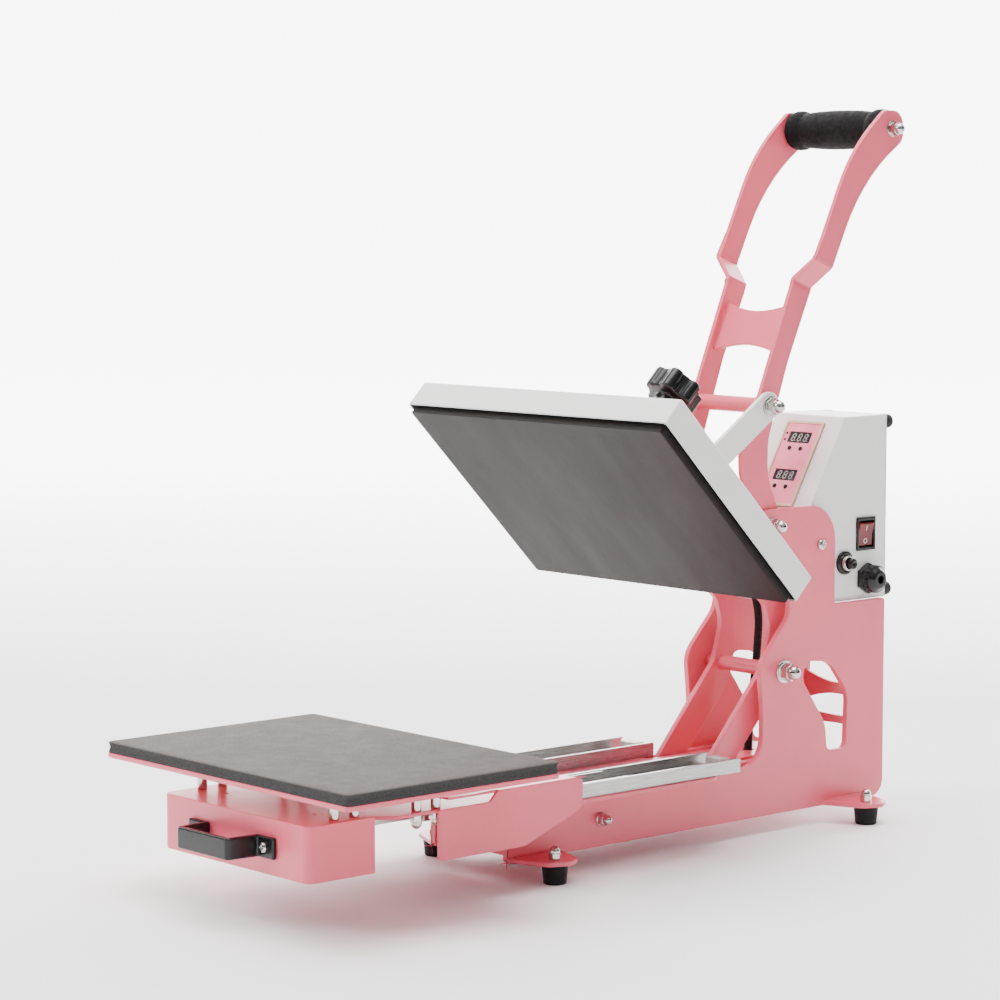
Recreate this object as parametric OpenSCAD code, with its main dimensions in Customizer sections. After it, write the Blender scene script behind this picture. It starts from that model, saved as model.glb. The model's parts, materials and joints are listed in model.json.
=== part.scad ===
// Clamshell heat press with a slide-out lower platen.
// +X is the user's right, -Y is the front, +Z is up. The origin is on the floor, on the mid-plane,
// halfway between the drawer pull and the rear bumpers. It is drawn open, with the drawer pulled out.
// Positions are worked out in press coordinates, whose Y is counted from the front pair of feet.

/* [Frame] */
// Gap between the two side plates
frame_gap = 90; // [86:0.5:92]
// Thickness of the side plates
plate_t = 6; // [5:0.5:7]
// Height of the rubber feet
foot_h = 17; // [14:1:22]
// Distance between left and right feet
foot_pitch_x = 159; // [150:1:170]
// Distance between front and rear feet
foot_pitch_y = 401; // [390:1:410]
// Top of the base rails
rail_top = 66; // [64:0.5:66]

/* [Pivots] */
// How far the heating platen is tipped open
open_angle = 45.2; // [44:0.1:46]
// Length of the toggle links between their two holes
link_length = 98; // [97:0.5:100]
// Radial running clearance of every pin in its hole
fit = 0.06; // [0.02:0.01:0.10]

/* [Platens] */
// Width of the silicone pad and its tray
pad_w = 330; // [320:1:335]
// Depth of the silicone pad and its tray
pad_d = 226; // [220:1:230]
// Thickness of the silicone pad
pad_t = 10; // [8:1:10]
// Width of the upper cover
cover_w = 338; // [334:1:342]
// Depth of the upper cover
cover_d = 233; // [230:1:236]
// Height of the upper cover
cover_h = 27.5; // [26:0.5:30]

/* [Drawer] */
// Travel of the drawer, from fully out to under the upper platen
drawer_travel = 246.5; // [240:0.5:248]
// Length of each ball-bearing slide
slide_l = 250; // [248:1:252]
// Width of each slide
slide_w = 45; // [42:1:45]
// Overall height of each slide
slide_h = 12.7; // [12.7:0.1:12.7]

/* [Handle] */
// Length of the foam grip
grip_l = 118; // [108:1:118]
// Radius of the foam grip at its middle
grip_r = 19; // [16:0.5:20]
// Half the outside width of the handle bars at the grip
grip_half = 64.5; // [64.5:0.5:67]

/* [Hidden] */
$fn = 48;
gap_half = frame_gap / 2;
plate_out = gap_half + plate_t;
y_origin = 77.5;
main_pivot = [316, 151];
handle_pivot = [298.5, 288.5];
link_pivot = [294.6, 400.2];
link_slope = [-0.830, -0.557];
bar_t = 5;
bar_in = gap_half - 0.5 - bar_t;
link_x = gap_half + 0.5;
arm_t = 6;
arm_in = 28.5;
tube_r = 7;
cover_low = -16.8;
cover_front = -371;
plate_low = cover_low - 6.2;
platen_mid = cover_front + cover_d / 2;
pad_top = 127.2;
tray_t = 4.3;
tray_low = pad_top - pad_t - tray_t;
pad_front = -298.2;
slide_x = 56.5;
slide_low = rail_top + 4;
slide_front = -20;
deck_low = slide_low + slide_h + 0.6;
deck_t = 3;
deck_top = deck_low + deck_t;
skirt_x = 100;
deck_back = 15;
box_half = gap_half - 0.02;
box_bottom = 209;
box_back = 462;
box_sheet = 1.6;
panel_angle = 60;
panel_top = [403.8, 385];
box_front = 347;
panel_foot = panel_top.y - (panel_top.x - box_front) * tan(panel_angle);
screw_y = platen_mid;
knob_low = 106;
tail_pin = [12, -120];
spring_anchor = [81, 42];
rod_x = 16;
tail_spot = main_pivot + turned(tail_pin, -open_angle);
spring_reach = norm(tail_spot - spring_anchor);
spring_tilt = atan2(tail_spot.y - spring_anchor.y, tail_spot.x - spring_anchor.x);
spring_l = 112;
cable_r = 3.75;

// ---- Small geometry helpers ----

function unit(v) = v / norm(v);
function turned(v, a) = [v.x * cos(a) - v.y * sin(a), v.x * sin(a) + v.y * cos(a)];
function short_turn(a) = a > 180 ? a - 360 : (a < -180 ? a + 360 : a);

// Arc that rounds the corner q between its neighbours p and s.
function corner_arc(p, q, s, r, steps) =
    let (a = unit(p - q), b = unit(s - q))
    let (half = acos(a * b) / 2)
    let (reach = r / tan(half), centre = q + unit(a + b) * r / sin(half))
    let (from = q + a * reach - centre, to = q + b * reach - centre)
    let (start = atan2(from.y, from.x), sweep = short_turn(atan2(to.y, to.x) - start))
    [for (i = [0:steps]) centre + r * [cos(start + sweep * i / steps), sin(start + sweep * i / steps)]];

// Closed outline from corners given as [x, y, radius].
function rounded(c, steps = 7) =
    let (n = len(c))
    [for (i = [0:n - 1]) each
        let (p = c[(i + n - 1) % n], q = c[i], s = c[(i + 1) % n])
        q.z == 0 ? [[q.x, q.y]] : corner_arc([p.x, p.y], [q.x, q.y], [s.x, s.y], q.z, steps)];

function box_outline(w, h, r) = [[-w / 2, -h / 2, r], [w / 2, -h / 2, r], [w / 2, h / 2, r], [-w / 2, h / 2, r]];

// Places press coordinates in the row frame.
module placed() {
    translate([0, -y_origin, 0]) children();
}

// Places a child drawn with the platen shut, centred on the main pivot, at the open position.
module swung_open() {
    translate([0, main_pivot.x, main_pivot.y]) rotate([-open_angle, 0, 0]) children();
}

// Extrudes a Y-Z outline along X.
module across(x, t) {
    translate([x, 0, 0]) rotate([90, 0, 90]) linear_extrude(t) children();
}

// Extrudes an X-Z outline along Y.
module along_y(y, l) {
    translate([0, y + l, 0]) rotate([90, 0, 0]) linear_extrude(l) children();
}

module x_rod(x0, x1, at, r) {
    translate([x0, at.x, at.y]) rotate([0, 90, 0]) cylinder(h = x1 - x0, r = r);
}

module both_sides() {
    children();
    mirror([1, 0, 0]) children();
}

// Domed cap nut on a washer, its seat at z = 0 and its dome upward.
module cap_nut(af, bore) {
    difference() {
        union() {
            cylinder(h = af * 0.6, r = af / 2 / cos(30), $fn = 6);
            translate([0, 0, af * 0.6]) cylinder(h = af * 0.14, r = af * 0.46);
            translate([0, 0, af * 0.74]) intersection() {
                sphere(r = af * 0.46);
                translate([0, 0, af]) cube(af * 2, center = true);
            }
        }
        translate([0, 0, -1]) cylinder(h = af * 0.6 + 1, r = bore);
    }
}

module washer(r_out, r_in, t) {
    difference() {
        cylinder(h = t, r = r_out);
        translate([0, 0, -1]) cylinder(h = t + 2, r = r_in);
    }
}

// Through bolt along X with a washer and a cap nut outside each face.
module through_bolt(at, r, face, af, washer_r) {
    x_rod(-face - 1.5 - af * 0.55, face + 1.5 + af * 0.55, at, r);
    both_sides() translate([face, at.x, at.y]) rotate([0, 90, 0]) {
        washer(washer_r, r + 0.02, 1.5);
        translate([0, 0, 1.5]) cap_nut(af, r + 0.02);
    }
}

// ---- Frame ----

side_outline = [
    [-30, foot_h, 3], [456.5, foot_h, 16], [456.5, 209, 3], [385.5, 209, 1],
    [385.5, 304, 34], [282, 304, 16], [281, 268, 16], [320, 236, 30], [325, 204, 24],
    [284, 160, 26], [288.5, 118, 40], [288.5, 66, 26], [-30, rail_top, 5]
];
window_outline = [
    [346, 158, 12], [380, 154, 26], [405, 122, 26], [403, 69, 7],
    [377, 69, 7], [374, 96, 30], [342, 140, 12]
];

// One side plate with its welded foot tabs, drawn for the right-hand side.
module side_plate() {
    across(gap_half, plate_t) difference() {
        polygon(rounded(side_outline));
        polygon(rounded(window_outline));
        translate(main_pivot) circle(r = 5 + 0.02);
        translate(handle_pivot) circle(r = 4 + 0.02);
        translate(spring_anchor) circle(r = 3 + 0.02);
        translate([365.3, 266.6]) circle(r = 2.5 + 0.02);
    }
    for (y = [0, foot_pitch_y])
        translate([0, y, foot_h]) foot_tab();
}

// Tapered tab that carries a foot.
module foot_tab() {
    foot_x = foot_pitch_x / 2;
    difference() {
        linear_extrude(4) polygon(rounded([
            [plate_out - 1, -30, 0], [foot_x + 8, -14, 10], [foot_x + 17, 4, 10], [foot_x + 8, 20, 10],
            [plate_out - 1, 33, 0]
        ]));
        translate([foot_x, 0, -1]) cylinder(h = 6, r = 3.02);
    }
}

module side_plate_right() {
    color("lightpink") placed() side_plate();
}

module side_plate_left() {
    color("lightpink") placed() mirror([1, 0, 0]) side_plate();
}

module rubber_feet() {
    color("black") placed() both_sides() for (y = [0, foot_pitch_y])
        translate([foot_pitch_x / 2, y, 0]) difference() {
            cylinder(h = foot_h, r1 = 10, r2 = 11.8);
            translate([0, 0, 5]) cylinder(h = foot_h, r = 3.02);
        }
}

// Studs that pass through the tabs into the feet, each with its cap nut.
module foot_cap_nuts() {
    color("silver") placed() both_sides() for (y = [0, foot_pitch_y])
        translate([foot_pitch_x / 2, y, 0]) {
            translate([0, 0, 6]) cylinder(h = foot_h + 2.5, r = 3);
            translate([0, 0, foot_h + 4]) cap_nut(10, 3.02);
        }
}

// Deck that carries the slides. Two slots let the swing arms pass and a hole the cable.
module slide_base_plate() {
    color("lightpink") placed() translate([0, 0, rail_top]) difference() {
        linear_extrude(4) difference() {
            polygon(rounded([
                [-82, -25, 6], [82, -25, 6], [82, 205, 14], [gap_half - 0.4, 205, 1],
                [gap_half - 0.4, 360, 2], [-gap_half + 0.4, 360, 2], [-gap_half + 0.4, 205, 1],
                [-82, 205, 14]
            ]));
            both_sides() translate([26.5, 216]) square([10, 138]);
            translate([0, 322]) circle(r = 6);
        }
        both_sides() for (y = [30, 200])
            translate([slide_x, y, -1]) cylinder(h = 6, r = 2);
    }
}

// Cross pieces welded between the side plates.
module frame_ties() {
    color("lightpink") placed() {
        along_y(446, 4) tie_outline(85.5, 12, 8);
        along_y(446, 4) tie_outline(116, 30, 11);
        along_y(-20, 4) polygon([
            [-gap_half + 0.02, foot_h + 3], [gap_half - 0.02, foot_h + 3],
            [gap_half - 0.02, 58], [-gap_half + 0.02, 58]
        ]);
        translate([0, 130, foot_h + 4]) cube([frame_gap - 0.04, 30, 4], center = true);
    }
}

// X-Z outline of a tie that is tall at the plates and waisted in the middle.
module tie_outline(z, ends, waist) {
    w = gap_half - 0.02;
    dip = (ends - waist) / 2;
    polygon([
        for (i = [-8:8]) [w * i / 8, z + ends / 2 - dip * cos(90 * i / 8)],
        for (i = [8:-1:-8]) [w * i / 8, z - ends / 2 + dip * cos(90 * i / 8)]
    ]);
}

module main_pivot_bolt() {
    color("silver") placed() through_bolt(main_pivot, 5, plate_out, 15, 10.7);
}

module handle_pivot_bolt() {
    color("silver") placed() through_bolt(handle_pivot, 4, plate_out, 13, 8);
}

module spring_anchor_bolt() {
    color("silver") placed() through_bolt(spring_anchor, 3, plate_out, 10, 6);
}

// Places a child along the line from the spring anchor to the tail pins, with Y along the line.
module on_spring_line() {
    translate([0, spring_anchor.x, spring_anchor.y]) rotate([spring_tilt, 0, 0]) children();
}

// Outer envelope of the counterbalance springs, each with an eye on the anchor bolt.
module counter_springs() {
    color("gray") placed() on_spring_line() both_sides() {
        difference() {
            union() {
                translate([rod_x - 2.5, -7, -7]) cube([5, 22, 14]);
                translate([rod_x, 14, 0]) rotate([-90, 0, 0]) cylinder(h = spring_l, r = 7);
            }
            translate([rod_x, 19, 0]) rotate([-90, 0, 0]) cylinder(h = spring_l, r = 5);
            x_rod(0, 40, [0, 0], 3 + fit);
        }
    }
}

// Rods that carry the pull of the springs to the tail pins, each ending in an eye.
module draw_rods() {
    color("silver") placed() on_spring_line() both_sides() {
        translate([rod_x, 40, 0]) rotate([-90, 0, 0]) cylinder(h = spring_reach - 46.5, r = 2.5);
        difference() {
            x_rod(rod_x - 3, rod_x + 3, [spring_reach, 0], 8);
            x_rod(0, 40, [spring_reach, 0], 4 + fit);
        }
    }
}

// Pan-head screws that hold the control box between the lobes.
module box_screws() {
    color("silver") placed() both_sides()
        translate([gap_half - 6, 365.3, 266.6]) rotate([0, 90, 0]) {
            cylinder(h = plate_t + 6, r = 2.5);
            translate([0, 0, plate_t + 6]) cylinder(h = 3.4, r1 = 5.2, r2 = 3.6);
        }
}

// ---- Drawer slides ----

// X-Z section of an upward channel with its lips turned in.
module channel(w, low, high, t, lip) {
    difference() {
        translate([-w / 2, low]) square([w, high - low]);
        translate([-w / 2 + t, low + t]) square([w - 2 * t, high - low - 2 * t]);
        translate([-w / 2 + t + lip, low + t]) square([w - 2 * (t + lip), high - low]);
    }
}

module slide_outer_members() {
    color("dimgray") placed() both_sides() translate([slide_x, 0, slide_low]) difference() {
        along_y(slide_front, slide_l) channel(slide_w, 0, slide_h, 1.5, 2);
        for (y = [30, 200])
            translate([0, y, -1]) cylinder(h = 4, r = 2);
    }
}

// Plastic end stops at the rear of the outer members.
module slide_bumpers() {
    color("lightgray") placed() both_sides() translate([slide_x - 10, slide_front + slide_l - 13, slide_low + 1.6])
        cube([20, 12, 10]);
}

module slide_middle_members() {
    color("silver") placed() both_sides() translate([slide_x, -drawer_travel / 2, slide_low])
        along_y(slide_front, slide_l - 13.5) channel(35, 2.2, 12.2, 1.3, 1.6);
}

module slide_inner_members() {
    color("silver") placed() both_sides() translate([slide_x, -drawer_travel, slide_low])
        along_y(slide_front, slide_l - 14) difference() {
            translate([-12, 4.6]) square([24, slide_h + 0.6 - 4.6]);
            translate([-10.6, 3]) square([21.2, slide_h + 0.6 - 4.4]);
        }
}

// ---- Drawer ----

skirt_outline = [
    [-149, 43, 4], [-53.5, 43, 20], [13, 67, 10], [deck_back, 95, 7],
    [-84, 95, 3], [-92, deck_top, 2], [-149, deck_top, 1]
];

// Carriage: a deck over the slides with a skirt and a turned-in rim on each side.
module carriage() {
    color("lightpink") placed() {
        translate([0, 0, deck_low]) linear_extrude(deck_t) difference() {
            polygon(rounded([
                [-72, -278, 6], [72, -278, 6], [76, -215, 8], [skirt_x - 3, -193, 6], [skirt_x - 3, deck_back, 1],
                [40, deck_back, 2], [40, -28, 4], [-40, -28, 4], [-40, deck_back, 2],
                [-skirt_x + 3, deck_back, 1], [-skirt_x + 3, -193, 6], [-76, -215, 8]
            ]));
            both_sides() for (y = post_rows) translate([post_x, y]) circle(r = 3.02);
        }
        both_sides() {
            across(skirt_x - 3, 3) polygon(rounded(skirt_outline));
            translate([skirt_x - 15, -138, 93]) cube([14, 146, 2]);
        }
    }
}

// Sheet box, open below and behind, so that it passes over the rails. Two packing strips rest on the deck.
module drawer_box() {
    under_top = drawer_box_top - 2;
    color("lightpink") placed() difference() {
        union() {
            translate([0, 0, 43]) difference() {
                linear_extrude(drawer_box_top - 43) polygon(rounded([
                    [-skirt_x, -286, 9], [skirt_x, -286, 9], [skirt_x, -217, 1], [-skirt_x, -217, 1]
                ]));
                translate([0, 0, -2]) linear_extrude(drawer_box_top - 43) polygon(rounded([
                    [-skirt_x + 2, -284, 7], [skirt_x - 2, -284, 7], [skirt_x - 2, -210, 0], [-skirt_x + 2, -210, 0]
                ]));
            }
            both_sides() translate([52, -276, deck_top + 0.02]) cube([16, 58, under_top - deck_top]);
        }
        both_sides() translate([60, -248, 80]) cylinder(h = 20, r = 2);
        both_sides() translate([46, -280, 66]) rotate([90, 0, 0]) cylinder(h = 10, r = 2.02);
        both_sides() for (y = front_post_rows) translate([post_x, y, 80]) cylinder(h = 20, r = 3.02);
    }
}

// Bridge pull bolted to the front of the drawer box.
module drawer_pull() {
    color("black") placed() translate([0, -286, 66]) difference() {
        translate([0, 0, -9]) linear_extrude(18) polygon([
            [-58, -0.02], [-58, -4], [-38, -4], [-35.5, -31], [-33, -33], [33, -33], [35.5, -31], [38, -4],
            [58, -4], [58, -0.02], [32, -0.02], [30, -27], [-30, -27], [-32, -0.02]
        ]);
        both_sides() translate([46, 1, 0]) rotate([90, 0, 0]) cylinder(h = 8, r = 2.02);
    }
}

module pull_screws() {
    color("silver") placed() both_sides() translate([46, -281, 66]) rotate([90, 0, 0]) {
        cylinder(h = 9, r = 2);
        translate([0, 0, 9]) cylinder(h = 2.6, r1 = 4.4, r2 = 3.2);
    }
}

drawer_box_top = 90;
post_x = 89.5;
post_rows = [-165, -144];
front_post_rows = [-252, -231];

// One post on a sheet whose faces are at the heights top and under, with its stud and nut.
module pad_post(y, top, under) {
    translate([post_x, y, 0]) {
        translate([0, 0, top]) cylinder(h = tray_low - top, r = 4.25);
        translate([0, 0, under - 5.5]) cylinder(h = top - under + 5.5, r = 3);
        translate([0, 0, under]) rotate([180, 0, 0]) cap_nut(10, 3.02);
    }
}

// Posts that hold the tray above the deck and the drawer box.
module pad_posts() {
    color("silver") placed() both_sides() {
        for (y = post_rows) pad_post(y, deck_top, deck_low);
        for (y = front_post_rows) pad_post(y, drawer_box_top, drawer_box_top - 2);
    }
}

module lower_tray() {
    color("lightpink") placed() translate([0, pad_front + pad_d / 2, tray_low])
        linear_extrude(tray_t) polygon(rounded(box_outline(pad_w, pad_d, 4)));
}

module silicone_pad() {
    color("gray") placed() translate([0, pad_front + pad_d / 2, tray_low + tray_t])
        linear_extrude(pad_t) polygon(rounded(box_outline(pad_w, pad_d, 4)));
}

// ---- Swing arms and upper platen, drawn shut around the main pivot ----

arm_outline = [
    [26, -134, 13], [-1, -134, 13], [-10, -6, 16], [-28, 26, 30], [-52, 40, 22], [-84, 26, 26],
    [-112, 18, 20], [-284, 18, 10], [-284, 60, 20], [-236, 80, 22], [-188, 80, 22],
    [-112, 62, 60], [-44, 72, 34], [4, 20, 20], [21, -20, 30]
];
yoke_tube_r = 9;
link_end = turned(link_pivot + link_length * unit(link_slope) - main_pivot, open_angle);

module swing_arm() {
    across(arm_in, arm_t) difference() {
        polygon(rounded(arm_outline));
        circle(r = tube_r + 0.02);
        translate(tail_pin) circle(r = 4 + 0.02);
        translate(link_end) circle(r = yoke_tube_r + 0.02);
    }
}

module swing_arm_right() {
    color("lightpink") placed() swung_open() swing_arm();
}

module swing_arm_left() {
    color("lightpink") placed() swung_open() mirror([1, 0, 0]) swing_arm();
}

// Tube welded through both arms. It turns on the main pivot bolt.
module pivot_tube() {
    color("lightpink") placed() swung_open() difference() {
        x_rod(-gap_half + 0.3, gap_half - 0.3, [0, 0], tube_r);
        x_rod(-gap_half, gap_half, [0, 0], 5 + fit);
    }
}

// Stub pins on the tails of the arms. The draw rods end beside them.
module tail_pins() {
    color("silver") placed() swung_open() both_sides() {
        x_rod(rod_x + 3.4, arm_in + arm_t + 1.2, tail_pin, 4);
        translate([arm_in + arm_t, tail_pin.x, tail_pin.y]) rotate([0, 90, 0]) washer(6, 4.02, 1.2);
        translate([rod_x + 3.4, tail_pin.x, tail_pin.y]) rotate([0, 90, 0]) washer(5.5, 4.02, 1.2);
    }
}

// Cross block between the arms. It carries the pressure screw, and its tube reaches out to the links.
module pressure_yoke() {
    inner = arm_in - 0.02;
    color("lightpink") placed() swung_open() {
        difference() {
            translate([-inner, screw_y - 17, 34]) cube([2 * inner, 34, 24]);
            translate([0, screw_y, 30]) cylinder(h = 32, r = 6 + fit);
        }
        translate([-inner, screw_y + 16.9, 44]) cube([2 * inner, link_end.x - screw_y - 18, 14]);
        x_rod(-gap_half + 0.2, gap_half - 0.2, link_end, yoke_tube_r);
    }
}

// Folded sheet cover, open below, with a hole for the screw neck and one for the cable.
module upper_cover() {
    color("white") placed() swung_open() difference() {
        translate([0, platen_mid, cover_low]) linear_extrude(cover_h)
            polygon(rounded(box_outline(cover_w, cover_d, 2.5)));
        translate([0, platen_mid, cover_low - 2]) linear_extrude(cover_h + 2 - 1.5)
            polygon(rounded(box_outline(cover_w - 3, cover_d - 3, 1.5)));
        translate([0, platen_mid, 0]) cylinder(h = 20, r = 16);
        translate([0, -158, 0]) cylinder(h = 20, r = 6);
        for (x = [-1, 1], y = [-1, 1])
            translate([x * (cover_w / 2 - 20), platen_mid + y * (cover_d / 2 - 20), 0]) cylinder(h = 20, r = 2.02);
    }
}

module heat_plate() {
    color("dimgray") placed() swung_open() translate([0, platen_mid, plate_low]) difference() {
        linear_extrude(15) polygon(rounded(box_outline(cover_w - 10, cover_d - 9, 3)));
        for (x = [-1, 1], y = [-1, 1])
            translate([x * (cover_w / 2 - 20), y * (cover_d / 2 - 20), 8]) cylinder(h = 8, r = 2.02);
    }
}

// Dark heat-resistant frame that closes the gap between the plate and the cover.
module insulation_frame() {
    color("black") placed() swung_open() translate([0, platen_mid, cover_low + 0.6]) linear_extrude(6) difference() {
        polygon(rounded(box_outline(cover_w - 3.2, cover_d - 3.2, 1.4)));
        polygon(rounded(box_outline(cover_w - 9.8, cover_d - 8.8, 3)));
    }
}

// Round thrust plate bolted to the heat plate, turned by nothing: the screw end bears in it.
module thrust_plate() {
    color("silver") placed() swung_open() translate([0, screw_y, plate_low + 15]) difference() {
        union() {
            cylinder(h = 5, r = 34);
            cylinder(h = 22, r = 14);
        }
        translate([0, 0, 8]) cylinder(h = 20, r = 6 + fit);
    }
}

module cover_screws() {
    color("black") placed() swung_open()
        for (x = [-1, 1], y = [-1, 1])
            translate([x * (cover_w / 2 - 20), platen_mid + y * (cover_d / 2 - 20), 0]) {
                translate([0, 0, plate_low + 8.2]) cylinder(h = cover_low + cover_h - plate_low - 8.2, r = 2);
                translate([0, 0, cover_low + cover_h]) cylinder(h = 2.4, r1 = 4.6, r2 = 3.4);
            }
}

module pressure_screw() {
    color("silver") placed() swung_open() translate([0, screw_y, 0]) {
        translate([0, 0, plate_low + 23.4]) cylinder(h = knob_low + 16 - plate_low - 23.4, r = 6);
    }
}

// Star knob with six lobes and a hub below.
module pressure_knob() {
    color("black") placed() swung_open() translate([0, screw_y, knob_low]) difference() {
        union() {
            linear_extrude(22) {
                circle(r = 21);
                for (i = [0:5]) rotate(60 * i) translate([18.5, 0]) circle(r = 7);
            }
            translate([0, 0, -12]) cylinder(h = 13, r = 12);
        }
        translate([0, 0, -13]) cylinder(h = 13 + 16.3, r = 6 + 0.02);
    }
}

// ---- Handle and links, drawn open ----

bar_low_outline = [
    [282, 271, 16], [315, 272, 16], [315, 300, 16], [298.5, 335, 60], [299, 368, 50],
    [325, 440, 60], [352.9, 501, 30], [362.7, 527.2, 0], [339.1, 536, 0], [329.3, 509.8, 30],
    [288.6, 412, 30], [263, 366, 14], [264, 340, 30]
];
bar_high_outline = [
    [337.6, 532, 0], [352, 560, 60], [388.4, 636.3, 170], [433, 674, 10], [458, 674, 14],
    [460, 646, 14], [403.7, 610.4, 190], [361.2, 523.2, 0]
];
grip_at = [442.5, 656.5];
fold_at = [343.9, 512.9];
fold_lean = 20.5;
fold_rise = 19.6;
fold_half = 12.6;
fold_step = grip_half - bar_t - bar_in;
fold_miter = bar_t / 2 * tan(atan2(fold_step, fold_rise) / 2);

module handle_bar() {
    difference() {
        union() {
            difference() {
                across(bar_in, bar_t) polygon(rounded(bar_low_outline));
                at_fold() translate([0, -100, -fold_miter - 0.2]) cube(200);
            }
            difference() {
                across(grip_half - bar_t, bar_t) polygon(rounded(bar_high_outline));
                at_fold() translate([0, -100, fold_rise + fold_miter + 0.2 - 200]) cube(200);
            }
            joggle();
        }
        x_rod(0, 100, handle_pivot, 4 + fit);
        x_rod(0, 100, link_pivot, 4 + fit);
        x_rod(0, 100, grip_at, 4 + 0.02);
    }
}

// Places a child at the lower fold of the bar, with Z along the bar.
module at_fold() {
    translate([0, fold_at.x, fold_at.y]) rotate([-fold_lean, 0, 0]) children();
}

// Sloping part that steps the bar outward between two folds.
module joggle() {
    face = bar_in + bar_t;
    at_fold() along_y(-fold_half, 2 * fold_half) polygon([
        [bar_in, -3], [face, -3], [face, -fold_miter], [face + fold_step, fold_rise - fold_miter],
        [face + fold_step, fold_rise + 3], [bar_in + fold_step, fold_rise + 3],
        [bar_in + fold_step, fold_rise + fold_miter], [bar_in, fold_miter]
    ]);
}

module handle_bar_right() {
    color("lightpink") placed() handle_bar();
}

module handle_bar_left() {
    color("lightpink") placed() mirror([1, 0, 0]) handle_bar();
}

// Waisted plate welded between the bars.
module handle_cross_plate() {
    color("lightpink") placed() translate([0, 322, 470]) rotate([-24, 0, 0]) along_y(-2, 4) polygon([
        for (i = [-8:8]) [(bar_in - 0.02) * i / 8, 24 - 7 * cos(90 * i / 8)],
        for (i = [8:-1:-8]) [(bar_in - 0.02) * i / 8, -24 + 7 * cos(90 * i / 8)]
    ]);
}

module handle_spacer_tube() {
    color("lightpink") placed() difference() {
        x_rod(-bar_in + 0.02, bar_in - 0.02, link_pivot, 7.5);
        x_rod(-bar_in, bar_in, link_pivot, 4 + 0.05);
    }
}

module link_bolt() {
    color("silver") placed() through_bolt(link_pivot, 4, link_x + bar_t + 0.3, 13, 9.5);
}

module grip_rod() {
    color("silver") placed() through_bolt(grip_at, 4, grip_half, 11, 7.5);
}

module foam_grip() {
    l = grip_l / 2;
    color("black") placed() translate([0, grip_at.x, grip_at.y]) rotate([0, 90, 0]) rotate_extrude() polygon([
        [4.1, -l], [grip_r - 4, -l], [grip_r - 1.5, -l + 2], [grip_r - 1, -l + 8], [grip_r - 2.5, -l + 14],
        [grip_r, -l / 3], [grip_r, l / 3], [grip_r - 2.5, l - 14], [grip_r - 1, l - 8],
        [grip_r - 1.5, l - 2], [grip_r - 4, l], [4.1, l]
    ]);
}

// Flat link from the handle to the yoke, with the stub bolt at its lower end.
module toggle_link() {
    end = link_pivot + link_length * unit(link_slope);
    difference() {
        across(link_x, bar_t) {
            translate(link_pivot) circle(r = 13);
            translate(end) circle(r = 13);
            translate((link_pivot + end) / 2) rotate(atan2(link_slope.y, link_slope.x))
                square([link_length, 25.98], center = true);
        }
        x_rod(0, 100, link_pivot, 4 + fit);
    }
    translate([link_x + bar_t - 0.02, end.x, end.y]) rotate([0, 90, 0]) {
        washer(8, 3, 1.5);
        translate([0, 0, 1.4]) cylinder(h = 5, r = 6.5 / cos(30), $fn = 6);
    }
}

module toggle_link_right() {
    color("white") placed() toggle_link();
}

module toggle_link_left() {
    color("white") placed() mirror([1, 0, 0]) toggle_link();
}

// ---- Control box ----

box_profile = [
    [box_front, box_bottom, 2], [box_front, panel_foot, 3], [panel_top.x, panel_top.y, 3], [box_back, panel_top.y, 3],
    [box_back, box_bottom, 2]
];
box_inside = [
    [348.6, box_bottom + 1.6, 1], [348.6, 286.3, 2], [404.7, 383.4, 2], [box_back + 2, 383.4, 0],
    [box_back + 2, box_bottom + 1.6, 0]
];
switch_at = [433.5, 272];
fuse_at = [404, 246];
gland_at = [436, 229];

// Places a child on the sloping front: X across, Y up the slope from its top edge, Z out of the box.
module on_panel() {
    translate([0, panel_top.x, panel_top.y]) rotate([panel_angle, 0, 0]) children();
}

module control_box() {
    color("white") placed() difference() {
        across(-box_half, 2 * box_half) polygon(rounded(box_profile));
        across(-box_half + box_sheet, 2 * (box_half - box_sheet)) polygon(rounded(box_inside));
        translate([0, switch_at.x - 12.2, switch_at.y - 14.5]) cube([100, 24.4, 29]);
        x_rod(0, 100, fuse_at, 8);
        x_rod(0, 100, gland_at, 9);
        both_sides() x_rod(30, 60, [365.3, 266.6], 2.5 + 0.02);
        translate([-32, 418, box_bottom - 2]) cylinder(h = 6, r = 5);
        on_panel() for (s = display_rows) translate([-15, -s - 5.8, -10]) cube([28.4, 11.6, 20]);
        on_panel() for (p = button_spots) translate([p.x, -p.y, -10]) cylinder(h = 20, r = 2.4);
    }
}

module control_box_back() {
    color("white") placed() difference() {
        translate([-box_half, box_back, box_bottom]) cube([2 * box_half, 1.5, panel_top.y - box_bottom]);
        for (z = [0:5]) translate([-20, box_back - 1, 240 + 8 * z]) cube([40, 4, 3]);
    }
}

module rear_bumpers() {
    color("black") placed() both_sides() for (z = [216, 378])
        translate([box_half - 7.5, box_back + 1.5, z]) rotate([-90, 0, 0]) cylinder(h = 10.5, r1 = 7.4, r2 = 6.6);
}

// Centres of the two display windows, as distances down the slope, and of the four keys.
display_rows = [25.3, 65.2];
button_spots = [[-8.4, 37.2], [5.8, 37.2], [-8.4, 77.6], [5.8, 77.6]];

// Framed overlay on the sloping front.
module control_panel() {
    color("lightpink") placed() on_panel() difference() {
        translate([-24, -98, 0.03]) cube([48, 90, 1.6]);
        for (s = display_rows) translate([-15, -s - 5.8, -1]) cube([28.4, 11.6, 4]);
        for (p = button_spots) translate([p.x, -p.y, -1]) cylinder(h = 4, r = 2.4);
    }
}

module display_modules() {
    color("dimgray") placed() on_panel() for (s = display_rows)
        translate([-14.8, -s - 5.6, -5]) cube([28, 11.2, 6]);
}

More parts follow.
